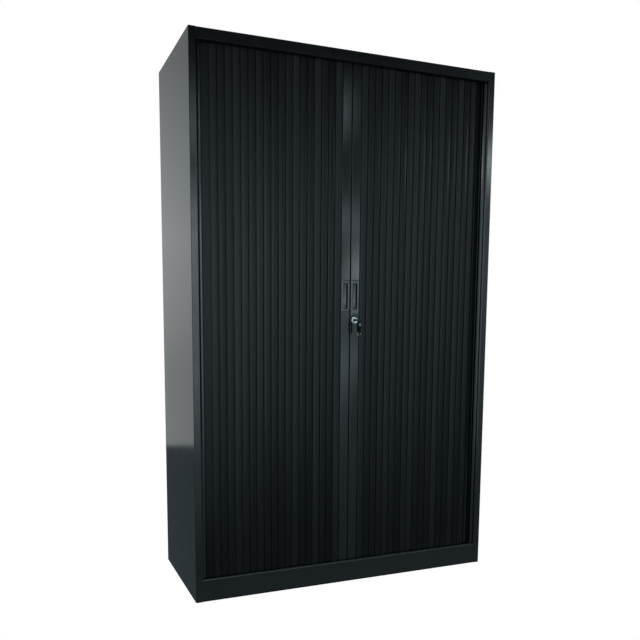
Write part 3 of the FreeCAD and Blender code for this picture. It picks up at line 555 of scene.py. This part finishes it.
# Flush pulls, as the solids have them
POCKET_HALF_WIDTH = 0.009
POCKET_LOW = 1.044
POCKET_HIGH = 1.136
POCKET_RADIUS = 0.003
POCKET_DEPTH = 0.011
POCKET_WALL = 0.0014
POCKET_DRAFT = 0.0007
PLATE_RADIUS = 0.002
PLATE_EDGE = 0.0007
MOUTH_EDGE = 0.0006
SMALLEST_CORNER = 0.0004
# Angles of the points on a rounded edge
QUARTER_TURN = [math.radians(30 * step) for step in range(4)]


def make_handle(name):
    """Moulded pull: plate with soft edges, pocket with a drafted wall and a rounded floor."""
    low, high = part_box("handle_" + name)
    centre_x = (low.x + high.x) / 2
    plate_z = (low.z + high.z) / 2
    pocket_z = (POCKET_LOW + POCKET_HIGH) / 2
    plate_half = ((high.x - low.x) / 2, (high.z - low.z) / 2)
    pocket_half = (POCKET_HALF_WIDTH, (POCKET_HIGH - POCKET_LOW) / 2)
    face, seat = low.y, stile_low.y
    floor = seat + POCKET_DEPTH

    def build(work):
        def loop(half, inset, centre_z, radius, y):
            corner = max(radius - inset, SMALLEST_CORNER)
            outline = rounded_rectangle(half[0] - inset, half[1] - inset, corner)
            return ring_of(work, [(centre_x + a, y, centre_z + b) for a, b in outline])

        rings = [
            loop(pocket_half, -POCKET_WALL, pocket_z, POCKET_RADIUS, floor + POCKET_WALL),
            loop(pocket_half, -POCKET_WALL, pocket_z, POCKET_RADIUS, seat),
            loop(plate_half, 0, plate_z, PLATE_RADIUS, seat),
        ]
        for angle in QUARTER_TURN:
            rings.append(loop(plate_half, PLATE_EDGE * (1 - math.cos(angle)), plate_z, PLATE_RADIUS,
                              face + PLATE_EDGE * (1 - math.sin(angle))))
        for angle in QUARTER_TURN:
            rings.append(loop(pocket_half, MOUTH_EDGE * (math.sin(angle) - 1), pocket_z, POCKET_RADIUS,
                              face + MOUTH_EDGE * (1 - math.cos(angle))))
        for angle in QUARTER_TURN:
            rings.append(loop(pocket_half, POCKET_DRAFT + MOUTH_EDGE * (1 - math.cos(angle)), pocket_z,
                              POCKET_RADIUS, floor - MOUTH_EDGE * (1 - math.sin(angle))))
        join_rings(work, rings)
        work.faces.new(rings[0])
        work.faces.new(rings[-1])

    pull = mesh_object("pull_" + name, build, "handle_plastic", "door_" + name)
    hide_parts("handle_" + name)


# Lock and key
BORE_PLAY = 0.0001
# Where the bezel's inner slope ends, as a share of its height
BEZEL_LIP = 0.5
CORE_SETBACK = 0.0003
CORE_EDGE = 0.0004
# Keyway: half width and height, its corners, its depth, and how its mouth opens
KEYWAY_HALF = (0.0012, 0.0042)
KEYWAY_CORNER = 0.0003
KEYWAY_DEPTH = 0.014
KEYWAY_LEAD = 0.0002
KEYWAY_FLARE = 1.04
# Blade: how far it goes straight before the bezel, and where the outline leaves the eye
BLADE_HALF_HEIGHT = 0.004
BLADE_STRAIGHT = 0.02
BLADE_EDGE = 0.0003
EYE_NECK_DEG = 53
# Pin: its play in the holes, and radius and distance from the end for its domed ends
PIN_PLAY = 0.00005
PIN_DOME = ((0.0006, 0.0), (0.0012, 0.0001), (PIN_RADIUS, 0.0004))
# Collar and its bridge, both measured from the pin
COLLAR_TOP_RADIUS = 0.0065
COLLAR_SHOULDER = 0.009
COLLAR_CHAMFER = 0.001
COLLAR_SLOT_HALF = 0.0014
COLLAR_EDGE = 0.0007
COLLAR_BRIDGE = 0.012
BRIDGE_INSET = 0.0008
BRIDGE_CORNER = 0.0006
GRIP_CORNER = 0.006
GRIP_TOP_CORNER = 0.0015
GRIP_EDGE = 0.0012
GRIP_HOLE_RADIUS = 0.0025
GRIP_HOLE_RISE = 0.005
RING_TUBE = 0.0008
# Share of a rounded edge at its middle point
ROUNDING = 0.3
# Cam screw: radius and height above the cam, from the rim to the recess
CAM_SCREW = ((0.0042, 0.0), (0.0042, 0.0006), (0.0038, 0.0014), (0.0028, 0.0020), (0.0014, 0.0023),
             (0.0012, 0.0010))


def make_bezel():
    """Plated bezel and barrel of the lock."""
    face, seat, rear = bezel_low.y, stile_low.y, bezel_high.y
    bore = core_radius + BORE_PLAY

    def build(work):
        profile = [(bore, rear), (BARREL_RADIUS, rear), (BARREL_RADIUS, seat)]
        middle = (bezel_radius + core_radius) / 2
        for a, b in arc(0, 0, 1, 0, 150, 10):
            profile.append((middle + (bezel_radius - middle) * a, seat + (face - seat) * b))
        profile.append((bore, seat + (face - seat) * BEZEL_LIP))
        lathe(work, profile, Vector((lock_x, 0, lock_z)), 1, 56, closed=True)

    bezel = mesh_object("lock_bezel", build, "chrome", "door_right")
    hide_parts("lock_housing")


def make_core():
    """Turning core: a plated face with the keyway cut in."""
    face, rear = core_low.y + CORE_SETBACK, core_high.y

    def build(work):
        centre = Vector((lock_x, 0, lock_z))
        slot = rounded_rectangle(*KEYWAY_HALF, KEYWAY_CORNER, 12)
        angles = [math.atan2(b, a) for a, b in slot]

        def loop(radius, level):
            return ring_of(work, [centre + Vector((radius * math.cos(t), level, radius * math.sin(t)))
                                  for t in angles])

        def slot_loop(grow, level):
            return ring_of(work, [centre + Vector((a * grow, level, b * grow)) for a, b in slot])

        rings = [loop(core_radius, rear), loop(core_radius, face + CORE_EDGE),
                 loop(core_radius - CORE_EDGE, face), slot_loop(KEYWAY_FLARE, face),
                 slot_loop(1.0, face + KEYWAY_LEAD), slot_loop(1.0, face + KEYWAY_DEPTH)]
        join_rings(work, rings)
        work.faces.new(rings[0])
        work.faces.new(rings[-1])

    core = mesh_object("lock_cylinder", build, "chrome", "lock", smooth_angle=30.0)
    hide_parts("lock_core")


def ray_angles(count):
    """Evenly turned directions, half a step off the first axis."""
    return [2 * math.pi * (step + 0.5) / count for step in range(count)]


def radial_outline(outline, centre, count):
    """Points where evenly turned rays from a centre meet a closed outline."""
    parallel, play = 1e-12, 1e-9
    found = []
    for angle in ray_angles(count):
        ray = Vector((math.cos(angle), math.sin(angle)))
        best = 0.0
        for first, second in zip(outline, outline[1:] + outline[:1]):
            a = Vector(first) - centre
            edge = Vector(second) - Vector(first)
            across = ray.x * edge.y - ray.y * edge.x
            if abs(across) < parallel:
                continue
            reach = (a.x * edge.y - a.y * edge.x) / across
            share = (a.x * ray.y - a.y * ray.x) / across
            if -play <= share <= 1 + play:
                best = max(best, reach)
        found.append(centre + ray * best)
    return found


def plate_with_hole(work, outline, hole_centre, hole_radius, low_x, high_x, edge, count=72):
    """Flat piece across X with a round hole and soft edges. The outline is a list of places in Y and Z."""
    centre = Vector(hole_centre)
    outer = radial_outline(outline, centre, count)
    hole = [centre + Vector((math.cos(angle), math.sin(angle))) * hole_radius for angle in ray_angles(count)]

    def loop(points, grow, x):
        placed = []
        for point in points:
            away = point - centre
            moved = centre + away * (1 + grow / away.length)
            placed.append((x, moved.x, moved.y))
        return ring_of(work, placed)

    part = edge * ROUNDING
    rings = [
        loop(hole, 0, low_x + edge), loop(hole, part, low_x + part), loop(hole, edge, low_x),
        loop(outer, -edge, low_x), loop(outer, -part, low_x + part), loop(outer, 0, low_x + edge),
        loop(outer, 0, high_x - edge), loop(outer, -part, high_x - part), loop(outer, -edge, high_x),
        loop(hole, edge, high_x), loop(hole, part, high_x - part), loop(hole, 0, high_x - edge),
    ]
    join_rings(work, rings, closed=True)


def make_blade():
    """Key blade with its eye."""
    tip = blade_high.y
    half = (blade_high.x - blade_low.x) / 2

    def build(work):
        straight_y = bezel_low.y - BLADE_STRAIGHT
        top, bottom = lock_z + BLADE_HALF_HEIGHT, lock_z - BLADE_HALF_HEIGHT
        outline = [(tip, bottom), (tip, top), (straight_y, top)]
        outline += arc(key_pivot_y, lock_z, EYE_RADIUS, EYE_NECK_DEG, 360 - EYE_NECK_DEG, 16)
        outline += [(straight_y, bottom)]
        plate_with_hole(work, outline, (key_pivot_y, lock_z), PIN_RADIUS + PIN_PLAY,
                        lock_x - half, lock_x + half, BLADE_EDGE, 96)

    # The shank's plating is painted dark, a painted shade.
    blade = mesh_object("key_shank", build, "chrome_painted_dark", "lock", smooth_angle=30.0)
    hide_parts("key_blade")


def collar_outline():
    """Side view of the collar: round above the pin, shouldered below."""
    low_z = collar_low.z
    front, rear = key_pivot_y - collar_half_depth, key_pivot_y + collar_half_depth
    shoulder, corner = lock_z - COLLAR_SHOULDER, low_z + COLLAR_CHAMFER
    outline = arc(key_pivot_y, lock_z, COLLAR_TOP_RADIUS, 0, 180, 16)
    outline += [(front, shoulder), (front, corner), (front + COLLAR_CHAMFER, low_z)]
    outline += [(rear - COLLAR_CHAMFER, low_z), (rear, corner), (rear, shoulder)]
    return outline


def make_collar():
    """Plated fork that folds on the pin: two cheeks and the bridge that joins them."""
    slot_low, slot_high = lock_x - COLLAR_SLOT_HALF, lock_x + COLLAR_SLOT_HALF

    def build(work):
        outline = collar_outline()
        for low_x, high_x in ((collar_low.x, slot_low), (slot_high, collar_high.x)):
            plate_with_hole(work, outline, (key_pivot_y, lock_z), PIN_RADIUS + PIN_PLAY, low_x, high_x,
                            COLLAR_EDGE)
        bridge_top = lock_z - COLLAR_BRIDGE
        centre_z = (bridge_top + collar_low.z) / 2
        section = rounded_rectangle(collar_half_depth - BRIDGE_INSET, (bridge_top - collar_low.z) / 2,
                                    BRIDGE_CORNER)
        ends = [ring_of(work, [(x, key_pivot_y + a, centre_z + b) for a, b in section])
                for x in (slot_low - BRIDGE_INSET, slot_high + BRIDGE_INSET)]
        join_rings(work, ends)
        for end in ends:
            work.faces.new(end)

    # The fork's plating is painted dark, a painted shade.
    collar = mesh_object("key_fork", build, "chrome_painted_dark", "key_head", smooth_angle=35.0)
    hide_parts("key_collar")


def make_pin():
    """Pin of the folding key with slightly domed ends."""
    low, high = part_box("key_pin")

    def build(work):
        profile = [(radius, low.x + rise) for radius, rise in PIN_DOME]
        profile += [(radius, high.x - rise) for radius, rise in reversed(PIN_DOME)]
        lathe(work, profile, Vector((0, key_pivot_y, lock_z)), 0, 24)

    pin = mesh_object("key_pivot", build, "chrome", "lock")
    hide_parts("key_pin")


def make_grip():
    """Moulded grip of the key with its hole, rounder below than above."""
    half_y = (grip_high.y - grip_low.y) / 2

    def build(work):
        outline = []
        for side, radius, level, start, steps in (
                (-1, GRIP_CORNER, grip_low.z + GRIP_CORNER, 180, 10),
                (1, GRIP_CORNER, grip_low.z + GRIP_CORNER, 270, 10),
                (1, GRIP_TOP_CORNER, grip_high.z - GRIP_TOP_CORNER, 0, 4),
                (-1, GRIP_TOP_CORNER, grip_high.z - GRIP_TOP_CORNER, 90, 4)):
            outline += arc(key_pivot_y + side * (half_y - radius), level, radius, start, start + 90, steps)
        plate_with_hole(work, outline, (key_pivot_y, grip_low.z + GRIP_HOLE_RISE), GRIP_HOLE_RADIUS,
                        grip_low.x, grip_high.x, GRIP_EDGE, 96)

    grip = mesh_object("key_bow", build, "grip_plastic", "key_head")
    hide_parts("key_grip")


def make_ring():
    """Round wire ring in the grip's hole."""
    centre = (ring_low + ring_high) / 2
    radius = (ring_high.x - ring_low.x) / 2 - RING_TUBE

    def build(work):
        rings = []
        for a, b in arc(0, 0, 1, 0, 360, 40)[:-1]:
            wire = [Vector((a * (radius + c), s, b * (radius + c)))
                    for c, s in arc(0, 0, RING_TUBE, 0, 360, 12)[:-1]]
            rings.append(ring_of(work, [centre + place for place in wire]))
        join_rings(work, rings, closed=True)

    ring = mesh_object("key_wire", build, "zinc_steel", "key_head")
    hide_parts("key_ring")


def make_cam_screw():
    """Screw that holds the cam, with a small recess in its head."""
    def build(work):
        profile = [(radius, cam_rear + rise) for radius, rise in CAM_SCREW]
        lathe(work, profile, Vector((lock_x, 0, lock_z)), 1, 32)

    mesh_object("cam_screw", build, "zinc_steel", "lock")


# Rivets of the back panel, which lies a little inside the carcass
RIVET_RADIUS = 0.004
RIVET_HEIGHT = 0.0008
RIVET_END_INSET = 0.012
RIVETS_ACROSS = 7
BACK_INSET = 0.001
# The rivet's open middle, as shares of its radius and height
RIVET_MOUTH = [(0.28, 1.0), (0.25, 0.4)]


def make_rivets():
    """Blind rivets along the top and bottom of the back panel."""
    def build(work):
        profile = [(RIVET_RADIUS * a, RIVET_HEIGHT * b) for a, b in arc(0, 0, 1, 0, 72, 4) + RIVET_MOUTH]
        lathe(work, profile, Vector((0, 0, 0)), 1, 20)

    face_y = carcass_rear - BACK_INSET
    places = []
    for level in (back_low.z + RIVET_END_INSET, back_high.z - RIVET_END_INSET):
        for index in range(RIVETS_ACROSS):
            x = (back_high.x - 2 * RIVET_END_INSET) * (2 * index / (RIVETS_ACROSS - 1) - 1)
            places.append(((x, face_y, level), 0.0))
    repeat("back_rivets", build, places, "zinc_steel", "cabinet")


# Camera, light and ground
def make_camera():
    """Camera at the photograph's place and angle."""
    ahead = Vector((math.sin(CAMERA_HEADING) * math.cos(CAMERA_PITCH),
                    math.cos(CAMERA_HEADING) * math.cos(CAMERA_PITCH), math.sin(CAMERA_PITCH)))
    right = ahead.cross(Vector((0, 0, 1))).normalized()
    up = right.cross(ahead)
    turned_right = math.cos(CAMERA_ROLL) * right + math.sin(CAMERA_ROLL) * up
    turned_up = math.cos(CAMERA_ROLL) * up - math.sin(CAMERA_ROLL) * right
    lens = bpy.data.cameras.new("camera")
    lens.sensor_width = SENSOR
    lens.lens = FOCAL_PIXELS / PHOTO_SIZE * SENSOR
    lens.shift_x = 0.5 - CENTRE_PIXEL_X / PHOTO_SIZE
    lens.shift_y = CENTRE_PIXEL_Y / PHOTO_SIZE - 0.5
    lens.clip_end = 200.0
    camera = bpy.data.objects.new("camera", lens)
    pose = Matrix((turned_right, turned_up, -ahead)).transposed().to_4x4()
    pose.translation = CAMERA_PLACE
    camera.matrix_world = pose
    bpy.context.scene.collection.objects.link(camera)
    bpy.context.scene.camera = camera


FLOOR_RADIUS = 3.1
# Brightness of the floor in reflections by its depth, and what it gains left of a slanting line in front
FLOOR_BY_DEPTH = ((-3.1, 0.42), (-1.85, 0.36), (-0.85, 0.28), (-0.5, 0.26), (-0.40, 0.30), (-0.27, 0.31),
                  (-0.23, 0.10), (3.1, 0.10))
FLOOR_SLANT = 0.26
FLOOR_EDGE = (-0.65, -0.60)
FLOOR_FRONT = (-1.8, -0.7)
FLOOR_LEFT_GAIN = 0.8


def make_floor():
    """Round studio floor: white to the camera, dim in reflections and dimmest behind the cabinet."""
    work = bmesh.new()
    centre = work.verts.new((0, 0, 0))
    rim = ring_of(work, [(a, b, 0) for a, b in arc(0, 0, FLOOR_RADIUS, 0, 360, 96)[:-1]])
    for first, second in zip(rim, rim[1:] + rim[:1]):
        work.faces.new((centre, first, second))
    mesh = bpy.data.meshes.new("floor")
    work.to_mesh(mesh)
    work.free()
    floor = bpy.data.objects.new("floor", mesh)
    bpy.context.scene.collection.objects.link(floor)
    look = bpy.data.materials.new("floor")
    look.use_nodes = True
    shader = Shader(look.node_tree)
    path = shader.node("ShaderNodeLightPath")
    place = shader.node("ShaderNodeTexCoord").outputs["Object"]
    across, depth, _ = shader.node("ShaderNodeSeparateXYZ", Vector=place).outputs
    by_depth = shader.curve(depth, -FLOOR_RADIUS, FLOOR_RADIUS, FLOOR_BY_DEPTH)
    slanted = shader.math("ADD", across, shader.math("MULTIPLY", depth, FLOOR_SLANT))
    left = shader.spread(slanted, *FLOOR_EDGE, FLOOR_LEFT_GAIN, 0.0)
    before = shader.spread(depth, *FLOOR_FRONT, 1.0, 0.0)
    gain = shader.math("ADD", 1.0, shader.math("MULTIPLY", before, left))
    dim = shader.node("ShaderNodeEmission", Color=rgba(FRONT_TINT),
                      Strength=shader.math("MULTIPLY", by_depth, gain))
    white = shader.node("ShaderNodeEmission", Color=rgba(WHITE), Strength=1.0)
    shader.choose(path.outputs["Is Camera Ray"], dim, white)
    mesh.materials.append(look)


# The studio that the surfaces reflect. Angles are degrees. Azimuth 0 is straight ahead of the cabinet, and
# it is positive to its right. Each point of a curve is an angle and a brightness.
WHITE = (1.0, 1.0, 1.0)
FRONT_TINT = (0.76, 0.98, 1.07)
WINDOW_TINT = (0.88, 0.99, 1.04)
WINDOW_RANGE = (1.2, 3.0)
BACK_TINT = (1.02, 1.08, 1.09)
BEHIND_RANGE = (-0.5, 0.1)
FRONT_BY_HEIGHT = (
    (-20, 0.28), (-10, 0.56), (-6.5, 0.8), (2, 1.12), (9.5, 1.16), (18, 0.11), (21, 0.05), (32, 0.06),
    (45, 0.2), (58, 1.2), (90, 1.5),
)
BACK_BY_HEIGHT = ((-4, 0.49), (0, 0.61), (6, 0.72), (19, 0.36), (32, 0.3), (58, 0.8), (90, 1.2))
BY_AZIMUTH = (
    (-150, 1.0), (-90, 1.2), (-30, 1.5), (0, 1.4), (10, 1.15), (45, 0.6), (51, 0.12), (78, 0.06),
    (110, 0.25), (150, 1.0),
)
# Windows and screens in front: the azimuth from and to, the width of the soft edge, and the brightness at the
# heights where it turns. The left post, left stile, right stile and right post mirror one strip each.
STRIPS = (
    (11.0, 14.6, 0.6, (
        (-20, 0.6), (-9, 1.25), (-5.5, 2.3), (1, 2.5), (4, 3.6), (8, 3.6), (10.5, 0.4), (12, 0.3),
        (14.4, 3.0), (16, 0.6), (18, 0.05))),
    (23.6, 25.72, 0.3, (
        (-20, 0.3), (-8.5, 0.75), (-6.5, 1.2), (-4.2, 2.2), (-1.8, 1.1), (-0.3, 1.1), (2.2, 2.2), (3.5, 0.05),
        (6, 0.2), (7.3, 2.3), (9.4, 0.15), (12.6, 0.1), (15.3, 2.4), (17.2, 0.3), (18.5, 0.03))),
    (25.88, 27.6, 0.3, (
        (-20, 0.3), (-9, 0.22), (-5.3, 0.2), (-3, 1.65), (-1.6, 0.6), (1, 1.1), (2.2, 1.9), (3.6, 7.0),
        (4.7, 3.1), (6, 1.1), (7.3, 2.4), (8.6, 0.5), (14.5, 0.02))),
    (35.0, 38.5, 0.6, (
        (-20, 0.25), (-2, 0.6), (4.4, 1.0), (9, 0.5), (10.3, 2.8), (11.3, 13.0), (12.2, 3.6), (13.3, 0.2),
        (18, 0.22), (21, 0.1))),
)


def make_world():
    """White to the camera. Light and reflections get a studio with a bright wall behind and windows ahead."""
    world = bpy.data.worlds.new("studio")
    bpy.context.scene.world = world
    world.use_nodes = True
    shader = Shader(world.node_tree)
    ray = shader.node("ShaderNodeTexCoord").outputs["Generated"]
    x, y, z = shader.node("ShaderNodeSeparateXYZ", Vector=ray).outputs
    azimuth = shader.math("DEGREES", shader.math("ARCTAN2", x, shader.math("MULTIPLY", y, -1.0)))
    height = shader.math("DEGREES", shader.math("ARCSINE", z))
    behind = shader.spread(y, *BEHIND_RANGE, 0.0, 1.0)
    front = shader.curve(height, -90, 90, FRONT_BY_HEIGHT)
    back = shader.curve(height, -90, 90, BACK_BY_HEIGHT)
    around = shader.curve(azimuth, -180, 180, BY_AZIMUTH)
    room = shader.math("MULTIPLY", around, shader.number_blend(behind, front, back))
    for left, right, soft, points in STRIPS:
        strip = shader.curve(height, -90, 90, points)
        room = shader.number_blend(shader.band(azimuth, left, right, soft), room, strip)
    bright = shader.spread(room, *WINDOW_RANGE, 0.0, 1.0)
    ahead = shader.blend(bright, rgba(FRONT_TINT), rgba(WINDOW_TINT))
    tint = shader.blend(behind, ahead, rgba(BACK_TINT))
    studio = shader.node("ShaderNodeBackground", Color=tint, Strength=room)
    white = shader.node("ShaderNodeBackground", Color=rgba(WHITE), Strength=1.0)
    path = shader.node("ShaderNodeLightPath")
    shader.choose(path.outputs["Is Camera Ray"], studio, white, "ShaderNodeOutputWorld")


LAMP_PLACE = Vector((-0.6, -2.2, 4.2))
LAMP_TARGET = Vector((0, 0, 0.9))
LAMP_SIZE = (2.2, 1.4)
LAMP_POWER = 30.0


def make_lamp():
    """A soft light from above in front, out of the way of the reflections."""
    light = bpy.data.lights.new("top", "AREA")
    light.shape = "RECTANGLE"
    light.size, light.size_y = LAMP_SIZE
    light.energy = LAMP_POWER
    lamp = bpy.data.objects.new("top", light)
    lamp.location = LAMP_PLACE
    lamp.rotation_euler = (LAMP_TARGET - LAMP_PLACE).to_track_quat("-Z", "Y").to_euler()
    bpy.context.scene.collection.objects.link(lamp)


paint_nodes()
make_curtains()
for side_name in SIDE_NAMES.values():
    make_handle(side_name)
make_bezel()
make_core()
make_blade()
make_pin()
make_collar()
make_grip()
make_ring()
make_cam_screw()
make_rivets()
make_camera()
make_floor()
make_world()
make_lamp()
bpy.context.scene.view_settings.view_transform = "Standard"
